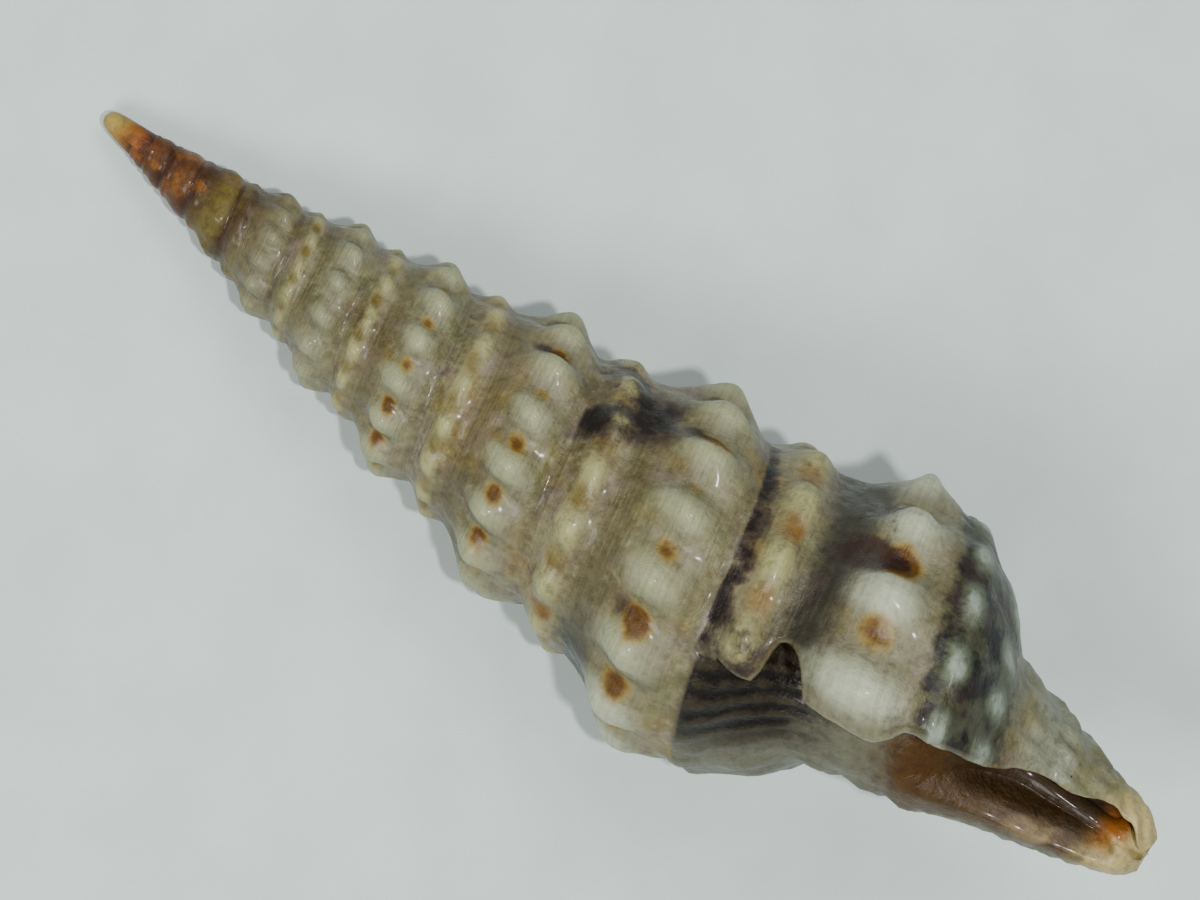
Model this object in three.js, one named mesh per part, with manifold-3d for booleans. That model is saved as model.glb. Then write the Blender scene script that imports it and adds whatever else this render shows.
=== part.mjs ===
// Drillia coerulea, a slender knobbed sea shell, lying on the side away from its outer lip.
// Millimetres, +Z up. The shell is one closed solid. Its surface is described in the shell's own
// coordinates: "turn" counts whorls back from the lip (0 at the suture end of the lip, -1 one whorl
// earlier), "across" runs over one whorl from its upper suture (0) to its lower suture (1), and
// "along" is the distance from the apex along the gently bowed axis.

import * as THREE from 'three';
import Module from 'manifold-3d';
import { mergeVertices } from 'three/addons/utils/BufferGeometryUtils.js';

// Driving dimensions of the whole shell
const SHELL_LENGTH = 25;
const WHORL_GROWTH = 1.345; // size ratio of one whorl to the whorl before it
const LIP_SUTURE = 15.6; // along, where the suture meets the outer lip
const YOUNG_FROM = -3.8; // before this turn the whorls grow faster
const YOUNG_CROWDING = 0.2;
const LIP_ANGLE = -24; // degrees from the top of the lying shell towards its dorsal side

// Spire cone, measured to the tips of the knobs
const CONE_SLOPE = 0.295;
const CONE_EASE = 0.0105; // the cone narrows by this share per millimetre
const APEX_SWELL = 0.2;
const APEX_SWELL_FADE = 2;
const APEX_ROUNDING = 0.12;

// Axis of the shell, as an offset towards the dorsal side
const AXIS_START = -0.04;
const AXIS_SLOPE = -0.072;
const AXIS_BOW = 0.00179;
const CANAL_RECURVE = 0.52;
const RECURVE_FROM = 17;
const RECURVE_TO = 21.5;

// Whorl profile, as shares of the cone's radius, with places given as "across"
const SUTURE_LEVEL = 0.8;
const SUTURE_WIDTH = 0.05;
const PERIPHERY = { at: 0.72, upperWidth: 0.3, lowerWidth: 0.26, height: 0.08 };
const SUBSUTURAL_CORD = { at: 0.2, width: 0.1, height: 0.05 };
const BEADS = { height: 0.05, lead: 0.25 };
const KNOBS = { at: 0.71, width: 0.16, height: 0.13, from: 2, full: 4.5 };
const KNOBS_PER_TURN = [13.3, 15.1, 14.1, 13]; // from the lip back, the last for all earlier whorls
const FIRST_KNOB = -0.061; // turn of the knob at the lip
const LIP_KNOB_SWELL = 0.25;

// Base of the last whorl, columella and canal
const LIP_LIFT = 0.07; // share of a whorl by which the last quarter turn rises
const LIFT_TURNS = 0.3;
const BASE_LEVEL = 0.03; // the last whorl's lower edge stands this much above a suture
const BASE_DROP = 2.05;
const BASE_CORDS = { first: 0.12, spacing: 0.95, height: 0.15, beadsPerTurn: 18, fadeFrom: 3.2, fadeOver: 2 };
const COLUMELLA_RADIUS = 1.8;
const CANAL_END_RADIUS = 0.7;
const CANAL_FROM = 20.6;
const CANAL_TO = 24.8;
const CANAL_END_ROUNDING = 0.5;

// Outline of the lip, as turns before LIP_ANGLE
const LIP_SETBACK = -0.031;
const TONGUE = { to: 0.3, over: 0.05, length: 0.015 };
const SINUS = { at: 0.435, width: 0.125, depth: 0.038 };
const KEEL_SETBACK = { at: 0.8, over: 0.12, depth: 0.02 };
const CANAL_SLIT = [
  { from: 21.4, to: 22.6, setback: 0.04 },
  { from: 23, to: 24, setback: 0.06 },
  { from: 24.4, to: 24.9, setback: -0.08 },
];

// Mouth: the chamber behind the lip and the trough of the canal
const LIP_THICKNESS = 0.3;
const CANAL_WALL = 0.17;
const CHAMBER_TURNS = 0.3;
const CHAMBER_GAP = 0.25;
const TROUGH = { edge: -48, softness: 22, from: 19.6, to: 22.4, share: 0.74 };
const TROUGH_END = { from: 24, over: 0.6, share: 0.9 };

// Facets
const STEPS_PER_TURN = 54;
const WHORLS = 7.5;
const ACROSS_ROWS = [0, 0.09, 0.2, 0.31, 0.435, 0.56, 0.7, 0.88, 1];
const BASE_ROWS = [0.045, 0.08, 0.13, 0.18, 0.235, 0.285, 0.34, 0.45, 0.58, 0.72, 0.86, 0.95, 1];
const APEX_RINGS = [0.66, 0.4, 0.2, 0.07];
const WARP_TURNS = 0.3; // columns bend to follow the lip over this many turns

// Resting position: it lies on three knobs, each worn to a small flat
const REST_ROLL = 14.23;
const REST_PITCH = -12.61;
const WORN_DEPTH = 0.08;

const degrees = Math.PI / 180;
const bell = (value, middle, width) => Math.exp(-(((value - middle) / width) ** 2));

function ease(value) {
  const share = Math.min(1, Math.max(0, value));
  return share * share * (3 - 2 * share);
}

// The cone that touches the knobs' tips, rounded at the apex
function coneRadius(along) {
  const cone = CONE_SLOPE * along * (1 - CONE_EASE * along);
  const rounding = Math.sqrt(1 - Math.exp(-along / APEX_ROUNDING));
  return cone + APEX_SWELL * Math.exp(-along / APEX_SWELL_FADE) * rounding;
}

function axisOffset(along) {
  const recurve = CANAL_RECURVE * ease((along - RECURVE_FROM) / (RECURVE_TO - RECURVE_FROM));
  return AXIS_START + AXIS_SLOPE * along + AXIS_BOW * along ** 2 + recurve;
}

function axisTilt(along) {
  const step = 0.01;
  return Math.atan((axisOffset(along + step) - axisOffset(along - step)) / (2 * step));
}

// Distance along the axis of a place on a whorl; the whorls are a logarithmic spiral
function alongAt(turn, across) {
  const lift = LIP_LIFT * ease(turn / LIFT_TURNS + 1) * ease(across / 0.6);
  const age = turn + across - lift;
  const crowding = YOUNG_CROWDING * Math.max(0, YOUNG_FROM - age);
  return LIP_SUTURE * WHORL_GROWTH ** (age - crowding);
}

// Number of knobs between the knob at the lip and this turn
function knobCount(turn) {
  let left = FIRST_KNOB - turn;
  if (left < 0) return left * KNOBS_PER_TURN[0];
  let count = 0;
  for (const perTurn of KNOBS_PER_TURN.slice(0, -1)) {
    count += Math.min(left, 1) * perTurn;
    left = Math.max(0, left - 1);
  }
  return count + left * KNOBS_PER_TURN.at(-1);
}

function knobShape(turn, across) {
  const nearLip = ease(1 + (turn - FIRST_KNOB) * 20);
  const row = bell(across, KNOBS.at, KNOBS.width * (1 + LIP_KNOB_SWELL * nearLip));
  const ridge = Math.cos(Math.PI * knobCount(turn)) ** 2;
  return row * ridge ** 0.9;
}

// Shares of the cone's radius: a smooth whorl, without its knobs and beads
function smoothProfile(turn, across) {
  const sideWidth = across < PERIPHERY.at ? PERIPHERY.upperWidth : PERIPHERY.lowerWidth;
  const swell = PERIPHERY.height * bell(across, PERIPHERY.at, sideWidth);
  const cord = SUBSUTURAL_CORD.height * bell(across, SUBSUTURAL_CORD.at, SUBSUTURAL_CORD.width);
  const upperGroove = 1 - bell(across, 0, SUTURE_WIDTH);
  const lowerGroove = 1 - bell(across, 1, SUTURE_WIDTH);
  const lastWhorl = BASE_LEVEL * ease((turn + 0.8) / 0.3) * ease((across - 0.8) / 0.2);
  return SUTURE_LEVEL + (swell + cord) * upperGroove * lowerGroove + lastWhorl;
}

function whorlRadius(turn, across) {
  const along = alongAt(turn, across);
  const ripening = ease((along - KNOBS.from) / (KNOBS.full - KNOBS.from));
  const beading = Math.cos(Math.PI * (knobCount(turn) + BEADS.lead)) ** 2;
  const beads = BEADS.height * beading * bell(across, SUBSUTURAL_CORD.at, SUBSUTURAL_CORD.width);
  const relief = ripening * (KNOBS.height * knobShape(turn, across) + beads);
  return coneRadius(along) * (smoothProfile(turn, across) + relief) + baseCordHeight(turn, along);
}

// Beaded cords around the base of the last whorl
function baseCordHeight(turn, along) {
  const below = along - alongAt(turn, 1);
  const fade = 1 - ease((below - BASE_CORDS.fadeFrom) / BASE_CORDS.fadeOver);
  const fromFirst = (below - BASE_CORDS.first) / BASE_CORDS.spacing;
  const cord = fromFirst < -0.5 ? 0 : Math.cos(Math.PI * fromFirst) ** 2;
  const beading = 0.3 + 0.7 * Math.cos(Math.PI * BASE_CORDS.beadsPerTurn * turn) ** 2;
  const worn = ease((turn + 0.93) / 0.12);
  return BASE_CORDS.height * fade * cord * beading * worn;
}

// Columella above, siphonal canal below
function coreRadius(along) {
  const taper = (along - CANAL_FROM) / (CANAL_TO - CANAL_FROM);
  const radius = COLUMELLA_RADIUS + (CANAL_END_RADIUS - COLUMELLA_RADIUS) * Math.min(1.1, Math.max(0, taper));
  const end = Math.max(0, (along - SHELL_LENGTH) / CANAL_END_ROUNDING + 1);
  return radius * (1 - 0.45 * end ** 2);
}

function smoothBaseRadius(turn, along) {
  const edge = alongAt(turn, 1);
  const share = Math.min(1, Math.max(0, (along - edge) / BASE_DROP));
  const edgeRadius = coneRadius(edge) * smoothProfile(turn, 1);
  return coreRadius(along) + (edgeRadius - coreRadius(edge)) * Math.cos((share * Math.PI) / 2) ** 2;
}

// Degrees from the trough's edge, counted from the top of the lying shell
function troughDepth(turn, along) {
  const angle = LIP_ANGLE - 360 * (turn + 1);
  const across = ease((angle - TROUGH.edge) / TROUGH.softness + 0.5);
  const ending = 1 - TROUGH_END.share * ease((along - TROUGH_END.from) / TROUGH_END.over);
  const deepening = ease((along - TROUGH.from) / (TROUGH.to - TROUGH.from)) * ending;
  return turn > -0.5 ? 0 : TROUGH.share * coreRadius(along) * across * deepening;
}

function baseRadius(turn, along) {
  return smoothBaseRadius(turn, along) + baseCordHeight(turn, along) - troughDepth(turn, along);
}

// How far, in turns, the lip's edge lies before LIP_ANGLE at this place
function lipEdge(across, along) {
  const tongue = TONGUE.length * (1 - ease((across - TONGUE.to) / TONGUE.over));
  const fromSinus = Math.min(1, Math.abs(across - SINUS.at) / SINUS.width);
  const sinus = SINUS.depth * Math.sqrt(1 - fromSinus ** 2);
  const keel = KEEL_SETBACK.depth * ease((across - KEEL_SETBACK.at) / KEEL_SETBACK.over);
  let slit = 0;
  for (const cut of CANAL_SLIT) slit += cut.setback * ease((along - cut.from) / (cut.to - cut.from));
  return LIP_SETBACK + tongue - sinus - keel - slit;
}

function followLip(turn, across, along) {
  const share = Math.max(0, 1 + turn / WARP_TURNS);
  return turn + lipEdge(across, along) * share;
}

// A point of the shell in its own straight frame, before it is laid down
function place(turn, radius, along) {
  const angle = (LIP_ANGLE - 360 * turn) * degrees;
  const tilt = axisTilt(along);
  const sideways = radius * Math.sin(angle);
  return new THREE.Vector3(
    along - sideways * Math.sin(tilt),
    axisOffset(along) + sideways * Math.cos(tilt),
    radius * Math.cos(angle),
  );
}

// A column of places over the last whorl and its base, from the suture to the end of the canal
function lastWhorlColumn(turn) {
  const onWhorl = ACROSS_ROWS.map((across) => {
    const bent = followLip(turn, across, alongAt(turn, across));
    return { turn: bent, across, along: alongAt(bent, across) };
  });
  return onWhorl.concat(baseColumn(turn, onWhorl.at(-1).along));
}

function baseColumn(turn, edge) {
  return BASE_ROWS.map((share) => {
    const along = edge + (SHELL_LENGTH - edge) * share;
    return { turn: followLip(turn, 1, along), across: 1 + share, along };
  });
}

const outerRadius = (spot) =>
  spot.across > 1 ? baseRadius(spot.turn, spot.along) : whorlRadius(spot.turn, spot.across);

function innerRadius(spot) {
  const onBase = spot.across > 1;
  const smooth = onBase
    ? smoothBaseRadius(spot.turn, spot.along)
    : coneRadius(spot.along) * smoothProfile(spot.turn, spot.across);
  const thinning = ease((spot.along - CANAL_FROM) / (CANAL_TO - CANAL_FROM));
  return smooth - (LIP_THICKNESS + (CANAL_WALL - LIP_THICKNESS) * thinning);
}

// Mesh under construction
const points = [];
const triangles = [];

function addPoint(point) {
  points.push(point);
  return points.length - 1;
}

const addSpot = (spot, radius) => addPoint(place(spot.turn, radius, spot.along));

// Two rows of equal length, joined by squares cut in two
function joinRows(first, second) {
  for (let k = 0; k + 1 < first.length; k += 1) {
    triangles.push([first[k], second[k], second[k + 1]], [first[k], second[k + 1], first[k + 1]]);
  }
}

const gap = (one, other) => points[one].distanceTo(points[other]);

// Two rows of any length, joined by a zigzag that keeps the shorter diagonal
function joinUnequalRows(first, second) {
  let a = 0;
  let b = 0;
  while (a + 1 < first.length || b + 1 < second.length) {
    const firstLeft = a + 1 < first.length;
    const secondLeft = b + 1 < second.length;
    if (firstLeft && (!secondLeft || gap(first[a + 1], second[b]) <= gap(first[a], second[b + 1]))) {
      triangles.push([first[a], second[b], first[a + 1]]);
      a += 1;
    } else {
      triangles.push([first[a], second[b], second[b + 1]]);
      b += 1;
    }
  }
}

const lastRow = ACROSS_ROWS.length - 1;
const columnCount = WHORLS * STEPS_PER_TURN + 1;
const lastTurnStart = columnCount - 1 - STEPS_PER_TURN;
const turnOf = (column) => (column - columnCount + 1) / STEPS_PER_TURN;

// Outer surface: each whorl's lower row is the next whorl's upper row
function buildOuter() {
  const columns = [];
  for (let column = 0; column < columnCount; column += 1) {
    const turn = turnOf(column);
    const spots = column >= lastTurnStart
      ? lastWhorlColumn(turn)
      : ACROSS_ROWS.map((across) => ({ turn, across, along: alongAt(turn, across) }));
    const above = columns[column - STEPS_PER_TURN];
    const indices = spots.map((spot, row) => (row === 0 && above ? null : addSpot(spot, outerRadius(spot))));
    if (above) indices[0] = above[lastRow];
    columns.push(indices);
  }
  for (let column = 0; column + 1 < columnCount; column += 1) {
    const left = column < lastTurnStart ? columns[column].slice(0, lastRow + 1) : columns[column];
    joinRows(left, columns[column + 1].slice(0, left.length));
  }
  return columns;
}

// Smooth first whorls: rings that repeat the spiral's upper edge, smaller and smaller
function buildApex(columns) {
  const edge = [];
  for (let column = 0; column <= STEPS_PER_TURN; column += 1) {
    edge.push({ index: columns[column][0], turn: turnOf(column), along: alongAt(turnOf(column), 0) });
  }
  for (let row = lastRow - 1; row > 0; row -= 1) {
    const along = alongAt(turnOf(0), ACROSS_ROWS[row]);
    edge.push({ index: columns[0][row], turn: turnOf(0), along });
  }
  let ring = edge.map((spot) => spot.index);
  for (const share of APEX_RINGS) {
    const next = edge.map(({ turn, along }) =>
      addPoint(place(turn, coneRadius(along * share) * (1 - (1 - SUTURE_LEVEL) * share), along * share)));
    joinRows([...ring, ring[0]], [...next, next[0]]);
    ring = next;
  }
  const tip = addPoint(place(0, 0, 0));
  joinRows([...ring, ring[0]], new Array(ring.length + 1).fill(tip));
}

// Chamber behind the lip: its floor is the whorl before, its roof is the inside of the lip
function buildMouth(columns) {
  const depth = Math.round(CHAMBER_TURNS * STEPS_PER_TURN);
  const floors = [columns[lastTurnStart].slice(lastRow + 1)];
  const roofs = [];
  for (let step = 0; step <= depth; step += 1) {
    const turn = -step / STEPS_PER_TURN;
    const roofSpots = lastWhorlColumn(turn).slice(1);
    if (step > 0) {
      const edge = alongAt(turn - 1, 1);
      const height = SHELL_LENGTH - edge;
      const spots = BASE_ROWS.map((share) => ({ turn: turn - 1, along: edge + height * share }));
      floors.push(spots.map((spot, row) => addSpot(spot, floorRadius(spot, row))));
    }
    const inside = roofSpots.slice(1).map((spot) => addSpot(spot, innerRadius(spot)));
    roofs.push([floors[step][0], ...inside]);
  }
  for (let step = 0; step < depth; step += 1) {
    joinRows(floors[step + 1], floors[step]);
    joinRows(roofs[step], roofs[step + 1]);
  }
  joinUnequalRows(roofs[depth], floors[depth]);
  joinUnequalRows(columns.at(-1), roofs[0]);
  return { floors, roofs, depth };
}

function floorRadius(spot, row) {
  const roof = innerRadius({ ...spot, turn: spot.turn + 1, across: 1.1 });
  const floor = baseRadius(spot.turn, spot.along);
  return row === 0 ? floor : Math.min(floor, Math.max(0.15, roof - CHAMBER_GAP));
}

// End of the canal: a wall over the trough and a core beside it
function buildCanalEnd(columns, mouth) {
  const wallOuter = [];
  for (let step = 0; step <= mouth.depth; step += 1) wallOuter.push(columns.at(-1 - step).at(-1));
  const wallInner = mouth.roofs.map((roof) => roof.at(-1));
  joinRows(wallOuter, wallInner);
  const rim = [];
  for (let column = columnCount - 1 - mouth.depth; column >= lastTurnStart; column -= 1) {
    rim.push(columns[column].at(-1));
  }
  for (const floor of mouth.floors.slice(1)) rim.push(floor.at(-1));
  rim.push(wallInner.at(-1));
  const middle = addPoint(place(-0.5, CANAL_END_RADIUS * 0.3, SHELL_LENGTH));
  joinRows([...rim, rim[0]], new Array(rim.length + 1).fill(middle));
}

function closedGeometry() {
  const geometry = new THREE.BufferGeometry();
  geometry.setAttribute('position', new THREE.Float32BufferAttribute(points.flatMap((p) => p.toArray()), 3));
  const solid = triangles.filter(([a, b, c]) => a !== b && b !== c && c !== a);
  geometry.setIndex(solid.flat());
  return geometry;
}

// Lay the shell down and wear the knobs that it rests on flat, with the floor at Z = 0
async function layDown(geometry) {
  geometry.rotateX(REST_ROLL * degrees);
  geometry.rotateY(REST_PITCH * degrees);
  geometry.computeBoundingBox();
  const { min, max } = geometry.boundingBox;
  geometry.translate(-(min.x + max.x) / 2, -(min.y + max.y) / 2, -min.z - WORN_DEPTH);
  const floor = new THREE.BoxGeometry(2 * SHELL_LENGTH, SHELL_LENGTH, 1);
  floor.translate(0, 0, -0.5);
  const wasm = await Module();
  wasm.setup();
  const solid = toManifold(wasm, geometry).subtract(toManifold(wasm, floor));
  return fromManifold(solid);
}

function toManifold(wasm, geometry) {
  const bare = geometry.clone();
  bare.deleteAttribute('normal');
  bare.deleteAttribute('uv');
  const merged = mergeVertices(bare, 1e-6);
  const vertProperties = new Float32Array(merged.attributes.position.array);
  const triVerts = new Uint32Array(merged.index.array);
  return new wasm.Manifold(new wasm.Mesh({ numProp: 3, vertProperties, triVerts }));
}

function fromManifold(solid) {
  const mesh = solid.getMesh();
  const geometry = new THREE.BufferGeometry();
  geometry.setAttribute('position', new THREE.Float32BufferAttribute(mesh.vertProperties, 3));
  geometry.setIndex(new THREE.Uint32BufferAttribute(mesh.triVerts, 1));
  return geometry;
}

const columns = buildOuter();
buildApex(columns);
buildCanalEnd(columns, buildMouth(columns));

const shell = new THREE.Mesh(
  await layDown(closedGeometry()),
  new THREE.MeshStandardMaterial({ color: 0xa9a184, roughness: 0.35, metalness: 0 }),
);
shell.name = 'shell';

const model = new THREE.Group();
model.add(shell);
export default model;
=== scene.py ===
import bpy
import numpy as np
from mathutils import Matrix, Vector, noise


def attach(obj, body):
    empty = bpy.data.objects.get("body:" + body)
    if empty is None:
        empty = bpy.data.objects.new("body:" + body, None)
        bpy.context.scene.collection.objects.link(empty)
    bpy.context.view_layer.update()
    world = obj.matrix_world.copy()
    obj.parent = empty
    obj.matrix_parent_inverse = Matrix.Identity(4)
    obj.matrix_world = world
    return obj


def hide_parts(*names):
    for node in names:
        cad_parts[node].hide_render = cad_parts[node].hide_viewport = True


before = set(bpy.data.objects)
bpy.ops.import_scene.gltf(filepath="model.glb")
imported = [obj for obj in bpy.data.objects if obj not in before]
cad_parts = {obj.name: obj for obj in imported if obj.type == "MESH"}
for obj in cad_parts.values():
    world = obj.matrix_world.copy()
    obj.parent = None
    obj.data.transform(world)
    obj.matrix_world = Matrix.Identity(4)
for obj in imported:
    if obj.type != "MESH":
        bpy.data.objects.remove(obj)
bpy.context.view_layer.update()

# Driving dimensions of the shell, in millimetres and turns, as in the part's source.
# "turn" counts whorls back from the lip, "across" runs from a whorl's upper suture (0) to its
# lower suture (1) and is more than 1 on the base, and "along" is the distance from the apex
# along the gently bowed axis.
MM = 0.001
ON_BASE = 1.1
SHELL_LENGTH = 25.0
WHORL_GROWTH = 1.345
LIP_SUTURE = 15.6
# Before this turn the whorls grow faster
YOUNG_FROM = -3.8
YOUNG_CROWDING = 0.2
LIP_ANGLE = -24.0

CONE_SLOPE = 0.295
CONE_EASE = 0.0105
APEX_SWELL = 0.2
APEX_SWELL_FADE = 2.0
APEX_ROUNDING = 0.12

AXIS_START = -0.04
AXIS_SLOPE = -0.072
AXIS_BOW = 0.00179
CANAL_RECURVE = 0.52
RECURVE_FROM = 17.0
RECURVE_TO = 21.5
TILT_STEP = 0.01

SUTURE_LEVEL = 0.8
SUTURE_WIDTH = 0.05
PERIPHERY = dict(at=0.72, upper=0.3, lower=0.26, height=0.08)
SUBSUTURAL_CORD = dict(at=0.2, width=0.1, height=0.05)
BEADS = dict(height=0.05, lead=0.25)
KNOBS = dict(at=0.71, width=0.16, height=0.13, start=2.0, full=4.5)
KNOBS_PER_TURN = (13.3, 15.1, 14.1, 13.0)
FIRST_KNOB = -0.061
LIP_KNOB_SWELL = 0.25
LIP_KNOB_TURNS = 0.05

LIP_LIFT = 0.07
LIFT_TURNS = 0.3
LIFT_ACROSS = 0.6
BASE_LEVEL = dict(height=0.03, turn=-0.8, turns=0.3, across=0.8, rows=0.2)
BASE_DROP = 2.05
BASE_CORDS = dict(first=0.12, spacing=0.95, height=0.15, fade_from=3.2, fade_over=2.0)
BASE_BEADS = dict(per_turn=18, least=0.3)
# No beads on the wall beside the mouth, only from here on
WORN_BASE = dict(turn=-0.93, turns=0.12)
COLUMELLA_RADIUS = 1.8
CANAL_END_RADIUS = 0.7
CANAL_FROM = 20.6
CANAL_TO = 24.8
CANAL_MOST_TAPER = 1.1
CANAL_END_ROUNDING = 0.5
CANAL_END_NARROWING = 0.45

LIP_SETBACK = -0.031
TONGUE = dict(to=0.3, over=0.05, length=0.015)
SINUS = dict(at=0.435, width=0.125, depth=0.038)
KEEL_SETBACK = dict(at=0.8, over=0.12, depth=0.02)
CANAL_SLIT = ((21.4, 22.6, 0.04), (23.0, 24.0, 0.06), (24.4, 24.9, -0.08))

LIP_THICKNESS = 0.3
CANAL_WALL = 0.17
CHAMBER_TURNS = 0.3
CHAMBER_GAP = 0.25
CHAMBER_FLOOR_RADIUS = 0.15
TROUGH = dict(edge=-48.0, softness=22.0, start=19.6, full=22.4, share=0.74)
TROUGH_END = dict(start=24.0, over=0.6, share=0.9)

REST_ROLL = 14.23
REST_PITCH = -12.61
WORN_DEPTH = 0.08

# Fine relief that only this model has
KNOB_VARIATION = 0.22
CANAL_CORDS = dict(spacing=0.46, height=0.03, start=3.2, over=1.2, turn=-0.9, turns=0.1)
PARIETAL_RIBS = dict(per_turn=36, slant=0.8, height=0.03)
PARIETAL_AREA = dict(turn=-0.9, turns=0.08, below=0.3, end=17.8, end_over=1.8)
# Size and height of each layer of unevenness, and how it fades towards the apex
UNEVENNESS = ((0.95, 0.045), (0.42, 0.03), (0.2, 0.015))
SMOOTH_APEX = dict(over=6.0, least=0.35)

# Fineness of the mesh
STEPS_PER_TURN = 180
WHORLS = 9
ACROSS_STEPS = 48
BASE_STEPS = 46
APEX_RINGS = (0.74, 0.55, 0.4, 0.28, 0.18, 0.1, 0.04)
RIM_STEPS = 4
MOUTH_ROW = 2
SHADE_STEPS = 12
ROOF_START = 0.125
ROOF_CLEARANCE = 0.06
THINNEST_LIP = 0.1
BASE_CROWDING = 0.035
RIM_BULGE = 0.38
WARP_TURNS = 0.3

# The photograph's view: the shell's two ends in its 1200 by 900 frame
APEX_PIXEL = Vector((104.0, 112.0))
CANAL_PIXEL = Vector((1152.0, 846.0))
PHOTO_CENTRE = Vector((600.0, 450.0))
PHOTO_WIDTH = 1200.0
# The camera leans this many degrees towards the canal from straight above the axis
CAMERA_LEAN = 3.5
CAMERA_DISTANCE = 0.25
SENSOR_WIDTH = 36.0
PAPER_HALF_WIDTH = 0.3
PAPER_ROUGHNESS = 0.85

# Lights: distance towards the camera, up and right in the picture, size, power and colour
LIGHTS = {
    "key": ((0.3, -0.1, -0.1), 0.12, 0.86, (1.0, 0.99, 0.97)),
    "fill": ((0.3, 0.2, 0.1), 0.2, 0.55, (0.98, 0.98, 0.97)),
    "glint": ((0.3, -0.02, 0.05), 0.012, 0.7, (1.0, 1.0, 1.0)),
}
SKY_COLOUR = (1.0, 0.99, 0.96, 1.0)
SKY_STRENGTH = 0.28


def ease(value):
    """Smooth rise from 0 to 1 while the value goes from 0 to 1."""
    share = np.clip(value, 0.0, 1.0)
    return share * share * (3.0 - 2.0 * share)


def bell(value, middle, width):
    """A rounded hump of height 1."""
    return np.exp(-(((value - middle) / width) ** 2))


def cone_radius(along):
    cone = CONE_SLOPE * along * (1.0 - CONE_EASE * along)
    rounding = np.sqrt(1.0 - np.exp(-along / APEX_ROUNDING))
    return cone + APEX_SWELL * np.exp(-along / APEX_SWELL_FADE) * rounding


def axis_offset(along):
    recurve = CANAL_RECURVE * ease((along - RECURVE_FROM) / (RECURVE_TO - RECURVE_FROM))
    return AXIS_START + AXIS_SLOPE * along + AXIS_BOW * along**2 + recurve


def axis_tilt(along):
    rise = axis_offset(along + TILT_STEP) - axis_offset(along - TILT_STEP)
    return np.arctan(rise / (2 * TILT_STEP))


def along_at(turn, across):
    """Distance along the axis of a place on a whorl; the whorls are a logarithmic spiral."""
    lift = LIP_LIFT * ease(turn / LIFT_TURNS + 1.0) * ease(across / LIFT_ACROSS)
    age = turn + across - lift
    crowding = YOUNG_CROWDING * np.maximum(0.0, YOUNG_FROM - age)
    return LIP_SUTURE * WHORL_GROWTH ** (age - crowding)


def knob_count(turn):
    """Number of knobs between the knob at the lip and this turn."""
    left = FIRST_KNOB - turn
    count = np.minimum(left, 1.0) * KNOBS_PER_TURN[0]
    for number, per_turn in enumerate(KNOBS_PER_TURN[1:], start=1):
        most = 1.0 if number + 1 < len(KNOBS_PER_TURN) else np.inf
        count = count + np.clip(left - number, 0.0, most) * per_turn
    return count


def scatter(number, seed):
    """A fixed number from 0 to 1 for each whole number."""
    return np.abs(np.sin(number * 12.9898 + seed * 78.233) * 43758.5453) % 1.0


def knob_shape(turn, across):
    near_lip = ease(1.0 + (turn - FIRST_KNOB) / LIP_KNOB_TURNS)
    row = bell(across, KNOBS["at"], KNOBS["width"] * (1.0 + LIP_KNOB_SWELL * near_lip))
    size = 1.0 + KNOB_VARIATION * (scatter(np.round(knob_count(turn)), 1.0) - 0.5)
    return size * row * np.cos(np.pi * knob_count(turn)) ** 2


def bead_shape(turn, across):
    ridge = np.cos(np.pi * (knob_count(turn) + BEADS["lead"])) ** 2
    return ridge * bell(across, SUBSUTURAL_CORD["at"], SUBSUTURAL_CORD["width"])


def smooth_profile(turn, across):
    side = np.where(across < PERIPHERY["at"], PERIPHERY["upper"], PERIPHERY["lower"])
    swell = PERIPHERY["height"] * bell(across, PERIPHERY["at"], side)
    cord = SUBSUTURAL_CORD["height"] * bell(across, SUBSUTURAL_CORD["at"], SUBSUTURAL_CORD["width"])
    grooves = (1.0 - bell(across, 0.0, SUTURE_WIDTH)) * (1.0 - bell(across, 1.0, SUTURE_WIDTH))
    below_keel = ease((across - BASE_LEVEL["across"]) / BASE_LEVEL["rows"])
    on_last = ease((turn - BASE_LEVEL["turn"]) / BASE_LEVEL["turns"])
    last_whorl = BASE_LEVEL["height"] * on_last * below_keel
    return SUTURE_LEVEL + (swell + cord) * grooves + last_whorl


def whorl_radius(turn, across):
    along = along_at(turn, across)
    ripening = ease((along - KNOBS["start"]) / (KNOBS["full"] - KNOBS["start"]))
    relief = KNOBS["height"] * knob_shape(turn, across) + BEADS["height"] * bead_shape(turn, across)
    whorl = cone_radius(along) * (smooth_profile(turn, across) + ripening * relief)
    return whorl + BASE_CORDS["height"] * base_cord_shape(turn, along)


def core_radius(along):
    taper = np.clip((along - CANAL_FROM) / (CANAL_TO - CANAL_FROM), 0.0, CANAL_MOST_TAPER)
    end = np.maximum(0.0, (along - SHELL_LENGTH) / CANAL_END_ROUNDING + 1.0)
    core = COLUMELLA_RADIUS + (CANAL_END_RADIUS - COLUMELLA_RADIUS) * taper
    return core * (1.0 - CANAL_END_NARROWING * end**2)


def smooth_base_radius(turn, along):
    edge = along_at(turn, 1.0)
    share = np.clip((along - edge) / BASE_DROP, 0.0, 1.0)
    edge_radius = cone_radius(edge) * smooth_profile(turn, 1.0)
    return core_radius(along) + (edge_radius - core_radius(edge)) * np.cos(share * np.pi / 2) ** 2


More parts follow.
